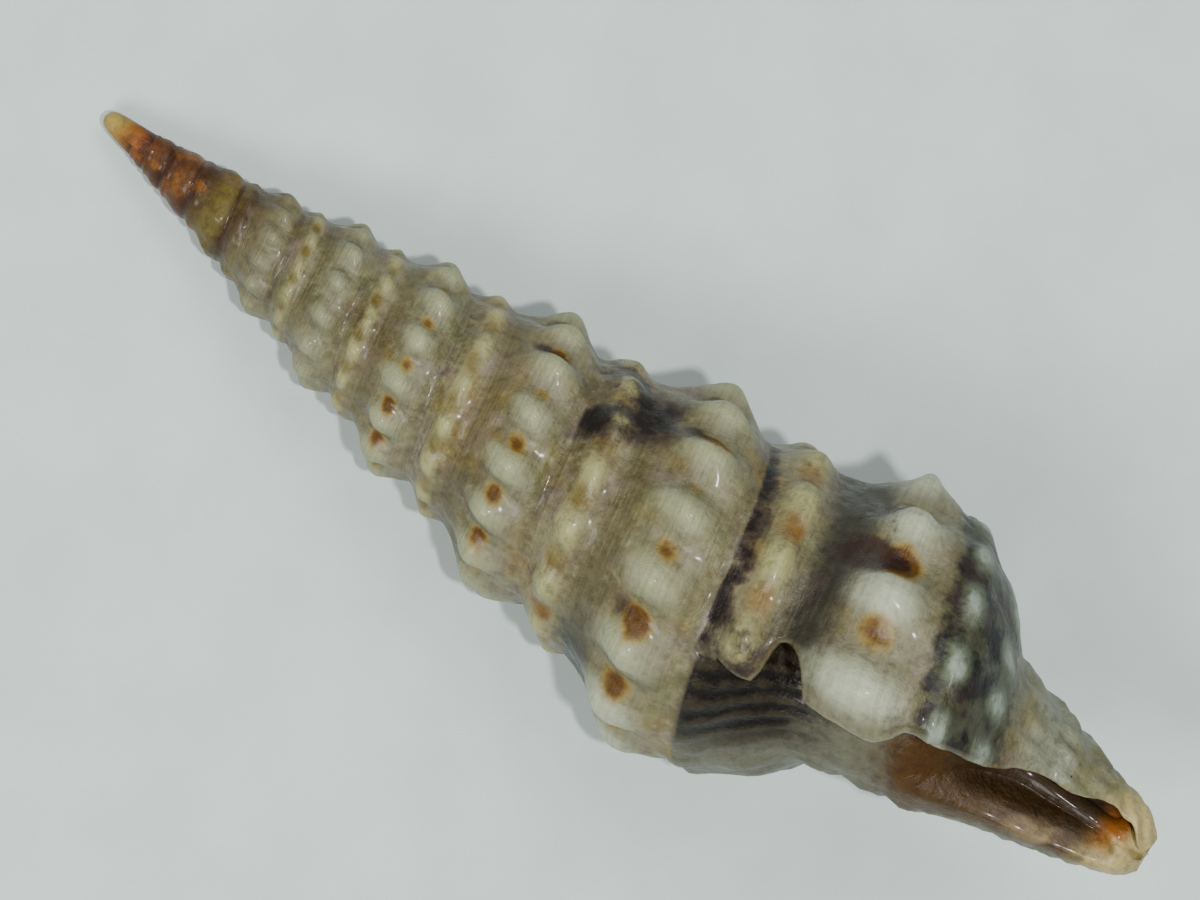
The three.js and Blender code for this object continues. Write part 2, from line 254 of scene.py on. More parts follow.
def trough_share(turn, along):
    """How far the canal's open trough is sunk into the base, from 0 to 1."""
    angle = LIP_ANGLE - 360.0 * (turn + 1.0)
    across = ease((angle - TROUGH["edge"]) / TROUGH["softness"] + 0.5)
    deepening = ease((along - TROUGH["start"]) / (TROUGH["full"] - TROUGH["start"]))
    ending = ease((along - TROUGH_END["start"]) / TROUGH_END["over"])
    deepening = deepening * (1.0 - TROUGH_END["share"] * ending)
    return np.where(turn > -0.5, 0.0, across * deepening)


def base_cord_shape(turn, along):
    below = along - along_at(turn, 1.0)
    fade = 1.0 - ease((below - BASE_CORDS["fade_from"]) / BASE_CORDS["fade_over"])
    from_first = (below - BASE_CORDS["first"]) / BASE_CORDS["spacing"]
    cord = np.where(from_first < -0.5, 0.0, np.cos(np.pi * from_first) ** 2)
    least = BASE_BEADS["least"]
    beading = least + (1.0 - least) * np.cos(np.pi * BASE_BEADS["per_turn"] * turn) ** 2
    worn = ease((turn - WORN_BASE["turn"]) / WORN_BASE["turns"])
    return fade * cord * beading * worn


def fine_base_relief(turn, along):
    """Thin cords on the canal and worn ribs on the base of the whorl before, beside the mouth."""
    below = along - along_at(turn, 1.0)
    on_canal = ease((below - CANAL_CORDS["start"]) / CANAL_CORDS["over"])
    on_canal = on_canal * ease((turn - CANAL_CORDS["turn"]) / CANAL_CORDS["turns"])
    canal = CANAL_CORDS["height"] * on_canal * np.cos(2 * np.pi * below / CANAL_CORDS["spacing"])
    old = 1.0 - ease((turn - PARIETAL_AREA["turn"]) / PARIETAL_AREA["turns"])
    old = old * ease(below / PARIETAL_AREA["below"])
    old = old * (1.0 - ease((along - PARIETAL_AREA["end"]) / PARIETAL_AREA["end_over"]))
    rib_count = turn * PARIETAL_RIBS["per_turn"] + along * PARIETAL_RIBS["slant"]
    ribs = PARIETAL_RIBS["height"] * old * np.cos(2 * np.pi * rib_count)
    return canal * (1.0 - trough_share(turn, along)) + ribs


def base_radius(turn, along):
    relief = BASE_CORDS["height"] * base_cord_shape(turn, along) + fine_base_relief(turn, along)
    trough = TROUGH["share"] * core_radius(along) * trough_share(turn, along)
    return smooth_base_radius(turn, along) + relief - trough


def inner_radius(turn, across, along):
    whorl = cone_radius(along) * smooth_profile(turn, across)
    smooth = np.where(across > 1.0, smooth_base_radius(turn, along), whorl)
    thinning = ease((along - CANAL_FROM) / (CANAL_TO - CANAL_FROM))
    return smooth - (LIP_THICKNESS + (CANAL_WALL - LIP_THICKNESS) * thinning)


def lip_edge(across, along):
    """How far the edge of the lip stands from the lip's turn, in turns."""
    tongue = TONGUE["length"] * (1.0 - ease((across - TONGUE["to"]) / TONGUE["over"]))
    from_middle = np.minimum(1.0, np.abs(across - SINUS["at"]) / SINUS["width"])
    sinus = -SINUS["depth"] * np.sqrt(1.0 - from_middle**2)
    keel = -KEEL_SETBACK["depth"] * ease((across - KEEL_SETBACK["at"]) / KEEL_SETBACK["over"])
    slit = sum(-setback * ease((along - start) / (end - start)) for start, end, setback in CANAL_SLIT)
    return LIP_SETBACK + tongue + sinus + keel + slit


def follow_lip(turn, across, along):
    return turn + lip_edge(across, along) * np.maximum(0.0, 1.0 + turn / WARP_TURNS)


def place(turn, radius, along):
    """Points of the shell in its own straight frame, in millimetres."""
    angle = np.radians(LIP_ANGLE - 360.0 * turn)
    tilt = axis_tilt(along)
    sideways = radius * np.sin(angle)
    x = along - sideways * np.sin(tilt)
    y = axis_offset(along) + sideways * np.cos(tilt)
    z = radius * np.cos(angle)
    return np.stack(np.broadcast_arrays(x, y, z), axis=-1)


class ShellMesh:
    """Vertices with their surface coordinates, and faces with the coordinates of each corner."""

    def __init__(self):
        self.points = []
        self.spots = []
        self.faces = []
        self.corners = []

    def add(self, turn, across, along, radius, inside=0.0):
        turn, across, along, radius = np.broadcast_arrays(turn, across, along, radius)
        first = sum(len(block) for block in self.points)
        self.points.append(place(turn, radius, along).reshape(-1, 3))
        spots = np.stack([turn, across, along, np.broadcast_to(inside, turn.shape)], axis=-1)
        self.spots.append(spots.reshape(-1, 4))
        return np.arange(first, first + turn.size).reshape(turn.shape)

    def grid(self, rows, corner_rows):
        """Join consecutive rows of vertex numbers by squares."""
        a, b = rows[:-1, :-1], rows[1:, :-1]
        c, d = rows[1:, 1:], rows[:-1, 1:]
        self.faces.append(np.stack([a, b, c, d], axis=-1).reshape(-1, 4))
        ca, cb = corner_rows[:-1, :-1], corner_rows[1:, :-1]
        cc, cd = corner_rows[1:, 1:], corner_rows[:-1, 1:]
        self.corners.append(np.stack([ca, cb, cc, cd], axis=-2).reshape(-1, 4, 2))


def column_turns():
    """The turn of every column of the outer surface, from the apex to the lip."""
    count = WHORLS * STEPS_PER_TURN + 1
    return (np.arange(count) - count + 1) / STEPS_PER_TURN


def base_shares():
    """Rows over the base, as shares of the way from the whorl's edge to the canal's end."""
    share = np.linspace(0.0, 1.0, BASE_STEPS + 1)[1:]
    return share - BASE_CROWDING * np.sin(2 * np.pi * share)


def last_whorl_spots(turns):
    """Spots over a whorl and its base for each turn, bent to follow the lip."""
    across = np.linspace(0.0, 1.0, ACROSS_STEPS + 1)
    turn, across = np.meshgrid(turns, across, indexing="ij")
    bent = follow_lip(turn, across, along_at(turn, across))
    along = along_at(bent, across)
    edge = along[:, -1:]
    shares = base_shares()[None, :]
    base_along = edge + (SHELL_LENGTH - edge) * shares
    base_turn = follow_lip(turns[:, None], 1.0, base_along)
    base_across = np.broadcast_to(1.0 + shares, base_along.shape)
    return (
        np.hstack([bent, base_turn]),
        np.hstack([across, base_across]),
        np.hstack([along, base_along]),
    )


def outer_radius(turn, across, along):
    return np.where(across > 1.0, base_radius(turn, along), whorl_radius(turn, np.minimum(across, 1.0)))


def build_shell_mesh():
    mesh = ShellMesh()
    turns = column_turns()
    count = len(turns)
    rows = ACROSS_STEPS + 1
    start = count - 1 - STEPS_PER_TURN
    turn, across, along = last_whorl_spots(turns)
    radius = outer_radius(turn, across, along)
    numbers = np.full(turn.shape, -1)
    spire = np.s_[:start, :rows]
    numbers[spire] = mesh.add(turn[spire], across[spire], along[spire], radius[spire])
    numbers[start:] = mesh.add(turn[start:], across[start:], along[start:], radius[start:])
    for column in range(STEPS_PER_TURN, count):
        numbers[column, 0] = numbers[column - STEPS_PER_TURN, rows - 1]
    spiral = np.stack([turn, across], axis=-1)
    mesh.grid(numbers[:, :rows], spiral[:, :rows])
    mesh.grid(numbers[start:, rows - 1:], spiral[start:, rows - 1:])
    close_apex(mesh, numbers, turn, along, rows)
    mouth = build_mouth(mesh, numbers, spiral, start, rows)
    close_canal(mesh, numbers, start, mouth)
    return mesh


def flat_corners(rows, across):
    corner = np.zeros(rows.shape + (2,))
    corner[..., 1] = across
    return corner


def close_apex(mesh, numbers, turn, along, rows):
    spiral_turn = np.concatenate([turn[: STEPS_PER_TURN + 1, 0], np.full(rows - 2, turn[0, 0])])
    spiral_along = np.concatenate([along[: STEPS_PER_TURN + 1, 0], along[0, rows - 2 : 0 : -1]])
    edge = np.concatenate([numbers[: STEPS_PER_TURN + 1, 0], numbers[0, rows - 2 : 0 : -1]])
    rings = [edge]
    for share in APEX_RINGS:
        ring_along = spiral_along * share
        radius = cone_radius(ring_along) * (1.0 - (1.0 - SUTURE_LEVEL) * share)
        rings.append(mesh.add(spiral_turn, 0.5, ring_along, radius))
    tip = mesh.add(np.array([0.0]), 0.5, np.array([0.0]), np.array([0.0]))
    rings.append(np.full(edge.shape, tip[0]))
    rings = np.stack([np.append(ring, ring[0]) for ring in rings], axis=0)
    mesh.grid(rings, flat_corners(rings, 0.5))


def floor_radius(turn, along):
    """The base of the whorl before, kept clear of the roof of the chamber above it."""
    roof = inner_radius(turn + 1.0, ON_BASE, along)
    return np.minimum(base_radius(turn, along), np.maximum(CHAMBER_FLOOR_RADIUS, roof - CHAMBER_GAP))


def build_mouth(mesh, numbers, spiral, start, rows):
    """Floor and roof of the chamber behind the lip, its end wall and the rounded lip."""
    depth = int(round(CHAMBER_TURNS * STEPS_PER_TURN))
    inward = -np.arange(1, depth + 1) / STEPS_PER_TURN
    shares = base_shares()[MOUTH_ROW:]
    edge = along_at(inward - 1.0, 1.0)[:, None]
    floor_along = edge + (SHELL_LENGTH - edge) * shares[None, :]
    floor_turn = np.broadcast_to((inward - 1.0)[:, None], floor_along.shape)
    radius = floor_radius(floor_turn, floor_along)
    radius[:, 0] = base_radius(floor_turn[:, 0], floor_along[:, 0])
    # painted shade: the chamber floor fades to the hollow's near-black colour over its first columns,
    # darker deeper in
    into_shade = ease(np.arange(1, depth + 1) / SHADE_STEPS)[:, None]
    floor = mesh.add(floor_turn, 1.0 + shares[None, :], floor_along, radius, inside=into_shade)
    floor = np.vstack([numbers[start : start + 1, rows + MOUTH_ROW :], floor])
    skip = int(np.ceil(ROOF_START * ACROSS_STEPS))
    roof_turns = np.concatenate([[0.0], inward])
    turn, across, along = last_whorl_spots(roof_turns)
    roof_along = along[:, skip:]
    roof_radius = inner_radius(turn[:, skip:], across[:, skip:], roof_along)
    beneath = smooth_base_radius(roof_turns[:, None] - 1.0, roof_along) + ROOF_CLEARANCE
    outside = outer_radius(turn[:, skip:], across[:, skip:], roof_along) - THINNEST_LIP
    roof_radius = np.maximum(roof_radius, np.minimum(beneath, outside))
    # painted shade: the lip's inner surface takes the hollow's near-black colour in full
    roof = mesh.add(turn[:, skip:], across[:, skip:], roof_along, roof_radius, inside=1.0)
    roof = np.hstack([floor[:, :1], roof])
    floor_turns = np.concatenate([[-1.0], inward - 1.0])[:, None]
    floor_spiral = np.stack(np.broadcast_arrays(floor_turns, 1.0 + shares[None, :]), axis=-1)
    mesh.grid(floor[::-1], floor_spiral[::-1])
    mesh.grid(roof, np.stack([turn[:, skip - 1 :], across[:, skip - 1 :]], axis=-1))
    join_unequal(mesh, roof[-1], floor[-1])
    corner = np.append(numbers[start, rows - 1 : rows + MOUTH_ROW + 1], roof[0, 1])
    join_unequal(mesh, numbers[-1, : skip + 1], corner)
    build_rim(mesh, numbers[-1, skip:], roof[0, 1:])
    return dict(floor=floor, roof=roof, depth=depth)


def join_unequal(mesh, first, second):
    """Triangles between two rows of different length, keeping the shorter diagonal."""
    points = np.concatenate(mesh.points)
    faces = []
    a = b = 0
    while a + 1 < len(first) or b + 1 < len(second):
        step_first = a + 1 < len(first)
        if step_first and b + 1 < len(second):
            across_first = np.linalg.norm(points[first[a + 1]] - points[second[b]])
            across_second = np.linalg.norm(points[first[a]] - points[second[b + 1]])
            step_first = across_first <= across_second
        if step_first:
            faces.append((first[a], second[b], first[a + 1]))
            a += 1
        else:
            faces.append((first[a], second[b], second[b + 1]))
            b += 1
    faces = np.array(faces)
    mesh.faces.append(faces)
    mesh.corners.append(np.full(faces.shape + (2,), 1.5))


def build_rim(mesh, outside, inside):
    """A rounded rim between the outer surface and the inside of the lip."""
    points = np.concatenate(mesh.points)
    spots = np.concatenate(mesh.spots)
    rows = [outside]
    ahead = rim_direction(points, outside)
    thickness = np.linalg.norm(points[outside] - points[inside], axis=1)[:, None]
    for step in range(1, RIM_STEPS):
        share = step / RIM_STEPS
        middle = points[outside] * (1 - share) + points[inside] * share
        bulge = RIM_BULGE * thickness * np.sin(np.pi * share)
        spot = spots[outside].copy()
        spot[:, 3] = -1.0
        first = len(points) + (step - 1) * len(outside)
        mesh.points.append(middle + ahead * bulge)
        mesh.spots.append(spot)
        rows.append(np.arange(first, first + len(outside)))
    rows.append(inside)
    rim = np.stack(rows, axis=0)
    mesh.grid(rim, np.stack([spots[outside][:, :2]] * len(rows), axis=0))


def rim_direction(points, outside):
    """The way the lip grows, at right angles to the axis and the radius."""
    along_rim = np.gradient(points[outside], axis=0)
    radial = points[outside] - np.stack(
        [points[outside][:, 0], axis_offset(points[outside][:, 0]), np.zeros(len(outside))], axis=1
    )
    ahead = np.cross(along_rim, radial)
    return ahead / (np.linalg.norm(ahead, axis=1)[:, None] + 1e-9)


def close_canal(mesh, numbers, start, mouth):
    """The wall's end and a fan of triangles at the tip of the canal."""
    depth = mouth["depth"]
    outer_end = numbers[::-1, -1][: depth + 1]
    roof_end = mouth["roof"][:, -1]
    wall = np.stack([outer_end, roof_end], axis=0)
    mesh.grid(wall, flat_corners(wall, 2.0))
    rest = numbers[start : len(numbers) - depth, -1][::-1]
    rim = np.concatenate([rest, mouth["floor"][1:, -1], roof_end[-1:]])
    middle = mesh.add(np.array([-0.5]), 2.0, np.array([SHELL_LENGTH]), np.array([CANAL_END_RADIUS * 0.3]))
    fan = np.stack([np.append(rim, rim[0]), np.full(len(rim) + 1, middle[0])], axis=0)
    mesh.grid(fan, flat_corners(fan, 2.0))


def rest_matrix():
    """The shell's turn from its own straight frame to the way that it lies."""
    roll = Matrix.Rotation(np.radians(REST_ROLL), 3, "X")
    pitch = Matrix.Rotation(np.radians(REST_PITCH), 3, "Y")
    return pitch @ roll


def lay_down(points):
    """Turn the shell to its resting position and put it on the floor, as in the CAD."""
    turned = points @ np.array(rest_matrix()).T
    low, high = turned.min(axis=0), turned.max(axis=0)
    shift = np.array([-(low[0] + high[0]) / 2, -(low[1] + high[1]) / 2, -low[2] - WORN_DEPTH])
    return turned + shift, shift


# Brown spots between knobs, by the number of the knob before them: strength, how far they smear
# towards the apex, and how far they stand from the middle in knobs; the rest vary
SPOTS = {
    -1: (0.0, 0.0, 0.0), 0: (0.7, 0.2, 0.2), 1: (1.7, 1.2, 0.05), 2: (1.0, 1.2, -0.12),
    11: (0.85, 0.3, 0.0), 12: (1.05, 0.6, 0.0), 13: (0.55, 0.3, 0.0), 14: (0.3, 0.2, 0.0),
    15: (1.2, 0.8, -0.12), 26: (0.75, 0.2, 0.0), 27: (0.75, 0.1, 0.0), 28: (0.7, 0.5, 0.0),
    29: (0.4, 0.3, 0.0), 30: (1.0, 0.8, 0.0), 40: (0.8, 0.2, 0.0), 41: (0.85, 0.2, 0.0),
    42: (0.6, 0.3, 0.0), 43: (0.6, 0.1, 0.0), 44: (0.4, 0.1, 0.0),
}
SPOT = dict(at=0.725, height=0.075, width=0.19, phase=0.4, start=5.2, over=2.2)
OTHER_SPOTS = dict(least=0.25, spread=0.6, smear=0.6)
SMEAR = dict(reach=0.13, width=0.09, least_reach=0.4, least_width=0.3, widening=1.2)
CANAL_COLOUR = dict(start=21.4, slant=4.6, over=1.3)
# Coloured bands of a whorl, with the sulcus moved and widened on the last whorl
SHOULDER = dict(at=0.76, width=0.18)
SULCUS = dict(at=0.42, width=0.11, move=0.03, widening=0.05)
SUTURE_LINE = 0.06
LAST_WHORL = dict(turn=-1.0, turns=0.12)
BASE_EDGE = dict(across=0.87, rows=0.12)
# Parts of the base beside the mouth: the wall that the lip grew over, and the side below it
PARIETAL_WALL = dict(turn=-0.92, turns=0.07)
VENTRAL_SIDE = dict(turn=-0.8, turns=0.12, canal_slant=0.1)
# Dark purple-brown stains, and one painted shade on the lip's tongue: turn, across, half-length in turns,
# half-height in whorls, strength
STAINS_AND_TONGUE_SHADE = (
    (-1.15, 0.08, 0.035, 0.12, 1.0),
    (-1.185, 0.3, 0.04, 0.14, 1.0),
    (-1.2, 0.46, 0.035, 0.12, 0.8),
    (-1.25, 0.2, 0.05, 0.25, 0.6),
    (-0.19, 0.6, 0.03, 0.08, 0.55),
    (-0.12, 0.42, 0.05, 0.05, 0.35),
    (-0.06, 0.02, 0.12, 0.09, 0.95),
    (-0.2, 0.0, 0.1, 0.09, 0.9),
    (-0.03, 0.9, 0.03, 0.06, 0.5),
    # painted shade darkening the tongue of the lip, not a stain
    (-0.02, 0.24, 0.04, 0.12, 0.7),
    (-2.06, 0.02, 0.05, 0.05, 0.5),
    (-2.2, 0.05, 0.04, 0.12, 0.45),
    (-3.3, 0.1, 0.04, 0.1, 0.35),
)


def spot_marks(turn, across):
    number = np.floor(knob_count(turn) - SPOT["phase"] + 0.5)
    strength = OTHER_SPOTS["least"] + OTHER_SPOTS["spread"] * scatter(number, 3.0)
    smear = OTHER_SPOTS["smear"] * scatter(number, 4.0)
    shift = np.zeros(number.shape)
    for knob, (value, length, move) in SPOTS.items():
        strength = np.where(number == knob, value, strength)
        smear = np.where(number == knob, length, smear)
        shift = np.where(number == knob, move, shift)
    strength = strength * ease((along_at(turn, across) - SPOT["start"]) / SPOT["over"])
    to_valley = knob_count(turn) - number - SPOT["phase"] - shift
    core = bell(across, SPOT["at"], SPOT["height"]) * bell(to_valley, 0.0, SPOT["width"])
    least = SMEAR["least_reach"]
    tail_at = SPOT["at"] - SMEAR["reach"] * (least + (1.0 - least) * smear)
    tail_width = SMEAR["width"] * (SMEAR["least_width"] + smear)
    tail = bell(across, tail_at, tail_width)
    tail = tail * bell(to_valley, 0.0, SPOT["width"] * SMEAR["widening"])
    return strength * core, strength * tail * np.minimum(smear, 1.0)


def canal_share(turn, along):
    """The greenish canal begins higher on the shell's back than at the lip."""
    start = CANAL_COLOUR["start"] + CANAL_COLOUR["slant"] * np.clip(turn, -0.3, 0.0)
    return ease((along - start) / CANAL_COLOUR["over"])


def surface_marks(spots):
    """Named measures of the surface, one number a vertex, which the material reads."""
    turn, across, along, inside = spots.T
    on_whorl = np.where(across <= 1.0, 1.0, 0.0)
    on_base = 1.0 - on_whorl
    ripening = ease((along - KNOBS["start"]) / (KNOBS["full"] - KNOBS["start"])) * on_whorl
    last = ease((turn - LAST_WHORL["turn"]) / LAST_WHORL["turns"])
    stain_and_shade = sum(
        strength * bell(turn, at, length) * bell(across, height_at, height)
        for at, height_at, length, height, strength in STAINS_AND_TONGUE_SHADE
    )
    ridge = np.cos(np.pi * (knob_count(turn) + BEADS["lead"])) ** 2
    cord = bell(across, SUBSUTURAL_CORD["at"], SUBSUTURAL_CORD["width"])
    canal = canal_share(turn, along)
    spot, smear = spot_marks(turn, across)
    sulcus_at = SULCUS["at"] + SULCUS["move"] * last
    sulcus_width = SULCUS["width"] + SULCUS["widening"] * last
    suture = bell(across, 0.0, SUTURE_LINE) + bell(across, 1.0, SUTURE_LINE) * (1.0 - last)
    base = last * ease((across - BASE_EDGE["across"]) / BASE_EDGE["rows"])
    parietal = 1.0 - ease((turn - PARIETAL_WALL["turn"]) / PARIETAL_WALL["turns"])
    ventral_turn = VENTRAL_SIDE["turn"] - VENTRAL_SIDE["canal_slant"] * canal
    ventral = 1.0 - ease((turn - ventral_turn) / VENTRAL_SIDE["turns"])
    return {
        "knob": knob_shape(turn, across) * ripening,
        "shoulder": bell(across, SHOULDER["at"], SHOULDER["width"]) * ripening,
        "bead": bead_shape(turn, across) * ripening,
        "gap": (1.0 - ridge) * cord * ripening,
        "cord": cord * on_whorl,
        "sulcus": bell(across, sulcus_at, sulcus_width) * on_whorl,
        "spot": spot * ripening,
        "smear": smear * ripening,
        "groove": suture * on_whorl,
        "stain_and_shade": np.minimum(stain_and_shade, 1.0) * on_whorl,
        "last": last * on_whorl,
        "base": base * (1.0 - canal) * (1.0 - ventral),
        "basebead": base_cord_shape(turn, along),
        "canal": canal * on_base,
        "parietal": parietal * on_base * (1.0 - canal),
        "ventral": ventral * on_base,
        "fine": fine_base_relief(turn, along) / CANAL_CORDS["height"] * on_base,
        "trough": trough_share(turn, along) * on_base,
        "inside": np.maximum(inside, 0.0),
        "rim": np.maximum(-inside, 0.0),
        "along": along / SHELL_LENGTH,
    }


def add_unevenness(mesh):
    """Moves every vertex a little along its normal, as a grown and worn surface is never smooth."""
    count = len(mesh.vertices)
    points = np.empty(count * 3)
    normals = np.empty(count * 3)
    mesh.vertices.foreach_get("co", points)
    mesh.vertex_normals.foreach_get("vector", normals)
    points, normals = points.reshape(-1, 3), normals.reshape(-1, 3)
    height = np.zeros(count)
    for size, depth in UNEVENNESS:
        scaled = (points / (size * MM)).tolist()
        height += depth * np.array([noise.noise(Vector(point)) for point in scaled])
    from_apex = np.linalg.norm(points - points[np.argmin(points[:, 0])], axis=1)
    grown = ease(from_apex / (SMOOTH_APEX["over"] * MM))
    share = SMOOTH_APEX["least"] + (1.0 - SMOOTH_APEX["least"]) * grown
    points = points + normals * (height * MM * share)[:, None]
    points[:, 2] = np.maximum(points[:, 2], 0.0)
    mesh.vertices.foreach_set("co", points.ravel())


def make_shell_object():
    data = build_shell_mesh()
    laid, shift = lay_down(np.concatenate(data.points))
    faces = []
    corners = []
    for block, block_corners in zip(data.faces, data.corners):
        for face, corner in zip(block.tolist(), block_corners.tolist()):
            kept = [k for k in range(len(face)) if face[k] != face[k - 1]]
            if len(kept) > 2:
                faces.append([face[k] for k in kept])
                corners.extend(corner[k] for k in kept)
    mesh = bpy.data.meshes.new("shell_surface")
    mesh.from_pydata((laid * MM).tolist(), [], faces)
    spiral = mesh.uv_layers.new(name="spiral")
    spiral.data.foreach_set("uv", np.array(corners, dtype=np.float32).ravel())
    for name, values in surface_marks(np.concatenate(data.spots)).items():
        layer = mesh.attributes.new(name, "FLOAT", "POINT")
        layer.data.foreach_set("value", values.astype(np.float32))
    mesh.polygons.foreach_set("use_smooth", np.ones(len(mesh.polygons), dtype=bool))
    mesh.update()
    add_unevenness(mesh)
    mesh.update()
    piece = bpy.data.objects.new("shell_surface", mesh)
    bpy.context.scene.collection.objects.link(piece)
    return piece, shift


def linear(red, green, blue):
    """A colour given in the usual 0 to 255 screen values, as the shader wants it."""
    share = np.array([red, green, blue]) / 255.0
    value = np.where(share <= 0.04045, share / 12.92, ((share + 0.055) / 1.055) ** 2.4)
    return (*value.tolist(), 1.0)


class Shader:
    """Short calls for the node tree of one material."""

    def __init__(self, name):
        self.material = bpy.data.materials.new(name)
        self.material.use_nodes = True
        self.tree = self.material.node_tree
        self.tree.nodes.clear()
        self.position = self.tree.nodes.new("ShaderNodeTexCoord").outputs["Object"]

    def plug(self, socket, value):
        if isinstance(value, bpy.types.NodeSocket):
            self.tree.links.new(value, socket)
        else:
            socket.default_value = value

    def mark(self, name):
        node = self.tree.nodes.new("ShaderNodeAttribute")
        node.attribute_name = name
        return node.outputs["Fac"]

    def math(self, operation, first, second):
        node = self.tree.nodes.new("ShaderNodeMath")
        node.operation = operation
        self.plug(node.inputs[0], first)
        self.plug(node.inputs[1], second)
        return node.outputs[0]

    def times(self, first, second):
        return self.math("MULTIPLY", first, second)

    def plus(self, first, second):
        return self.math("ADD", first, second)

    def step(self, value, low, high):
        """Smooth step of a value from low to high."""
        node = self.tree.nodes.new("ShaderNodeMapRange")
        node.interpolation_type = "SMOOTHSTEP"
        self.plug(node.inputs["Value"], value)
        node.inputs["From Min"].default_value = low
        node.inputs["From Max"].default_value = high
        return node.outputs["Result"]

    def mix(self, share, first, second, blend="MIX"):
        node = self.tree.nodes.new("ShaderNodeMix")
        node.data_type = "RGBA"
        node.blend_type = blend
        node.clamp_factor = True
        self.plug(node.inputs[0], share)
        self.plug(node.inputs[6], first)
        self.plug(node.inputs[7], second)
        return node.outputs[2]

    def noise(self, size_mm, detail=3.0, roughness=0.55):
        node = self.tree.nodes.new("ShaderNodeTexNoise")
        self.plug(node.inputs["Vector"], self.position)
        node.inputs["Scale"].default_value = 1.0 / (size_mm * MM)
        node.inputs["Detail"].default_value = detail
        node.inputs["Roughness"].default_value = roughness
        return node.outputs["Fac"]

    def spiral_noise(self, turns, rows):
        """Noise drawn out along the whorls or across them, by its scale each way."""
        uv = self.tree.nodes.new("ShaderNodeUVMap")
        uv.uv_map = "spiral"
        mapping = self.tree.nodes.new("ShaderNodeMapping")
        mapping.inputs["Scale"].default_value = (turns, rows, 1.0)
        self.plug(mapping.inputs["Vector"], uv.outputs[0])
        node = self.tree.nodes.new("ShaderNodeTexNoise")
        self.plug(node.inputs["Vector"], mapping.outputs[0])
        node.inputs["Scale"].default_value = 1.0
        node.inputs["Detail"].default_value = 3.0
        return node.outputs["Fac"]

    def ramp(self, value, stops):
        node = self.tree.nodes.new("ShaderNodeValToRGB")
        ramp = node.color_ramp
        while len(ramp.elements) < len(stops):
            ramp.elements.new(0.5)
        for element, (place_at, colour) in zip(ramp.elements, stops):
            element.position = place_at
            element.color = colour
        self.plug(node.inputs[0], value)
        return node.outputs["Color"]

    def bump(self, height, strength, distance_mm, below=None):
        node = self.tree.nodes.new("ShaderNodeBump")
        node.inputs["Strength"].default_value = strength
        node.inputs["Distance"].default_value = distance_mm * MM
        self.plug(node.inputs["Height"], height)
        if below is not None:
            self.plug(node.inputs["Normal"], below)
        return node.outputs["Normal"]

    def surface(self, shader):
        output = self.tree.nodes.new("ShaderNodeOutputMaterial")
        self.plug(output.inputs["Surface"], shader.outputs[0])
        return self.material


# Colours as they look on a screen
COLOURS = dict(
    ground=linear(114, 109, 80),
    ground_dark=linear(84, 75, 48),
    ground_yellow=linear(120, 98, 36),
    ground_grey=linear(110, 97, 88),
    ground_green=linear(88, 94, 62),
    shoulder=linear(115, 115, 91),
    knob=linear(140, 143, 110),
    knob_bright=linear(162, 168, 144),
    cord=linear(136, 130, 88),
    bead=linear(150, 149, 102),
    gap=linear(90, 76, 26),
    gap_bright=linear(104, 68, 2),
    spot_edge=linear(132, 108, 38),
    spot=linear(82, 53, 3),
    spot_dark=linear(40, 18, 6),
    smear=linear(40, 21, 15),
    groove=linear(40, 29, 20),
    # stain colours, also used for the painted shade on the lip's tongue
    stain_and_shade_edge=linear(58, 46, 38),
    stain_and_shade=linear(16, 11, 7),
    sulcus=linear(78, 71, 44),
    sulcus_last=linear(30, 30, 25),
    base=linear(14, 14, 9),
    base_purple=linear(44, 32, 32),
    base_green=linear(60, 62, 40),
    # painted highlight: bluish-white on the crests of the base beads
    bead_crest_highlight=linear(132, 142, 130),
    base_bead=linear(90, 98, 80),
    canal=linear(114, 118, 101),
    canal_green=linear(104, 104, 70),
    canal_shade=linear(98, 94, 68),
    columella=linear(64, 40, 5),
    lower_pale=linear(128, 111, 80),
    lower_canal=linear(68, 50, 24),
    callus=linear(88, 87, 70),
    rib=linear(46, 39, 24),
    rib_dark=linear(15, 10, 6),
    # dark-brown interior of the mouth, painted darker still as shade in the hollow
    inside=linear(16, 10, 7),
    trough=linear(46, 31, 12),
    trough_end=linear(120, 68, 6),
    rim=linear(176, 160, 104),
    young_blotch=linear(132, 80, 18),
    young_groove=linear(48, 27, 18),
    paper=linear(194, 207, 205),
    paper_dark=linear(186, 199, 197),
)
# Colours of the youngest whorls, by their distance from the apex as a share of the length
YOUNG_COLOURS = (
    (0.0, linear(152, 134, 70)), (0.016, linear(146, 122, 56)), (0.026, linear(116, 68, 10)),
    (0.04, linear(92, 40, 4)), (0.053, linear(86, 52, 20)), (0.066, linear(58, 26, 5)),
    (0.08, linear(84, 50, 14)), (0.094, linear(56, 32, 14)), (0.104, linear(72, 56, 22)),
    (0.113, linear(90, 78, 27)), (0.126, linear(86, 76, 31)), (0.134, linear(62, 44, 22)),
    (0.142, linear(78, 66, 44)), (0.155, linear(98, 91, 62)), (0.2, linear(112, 107, 76)),
)


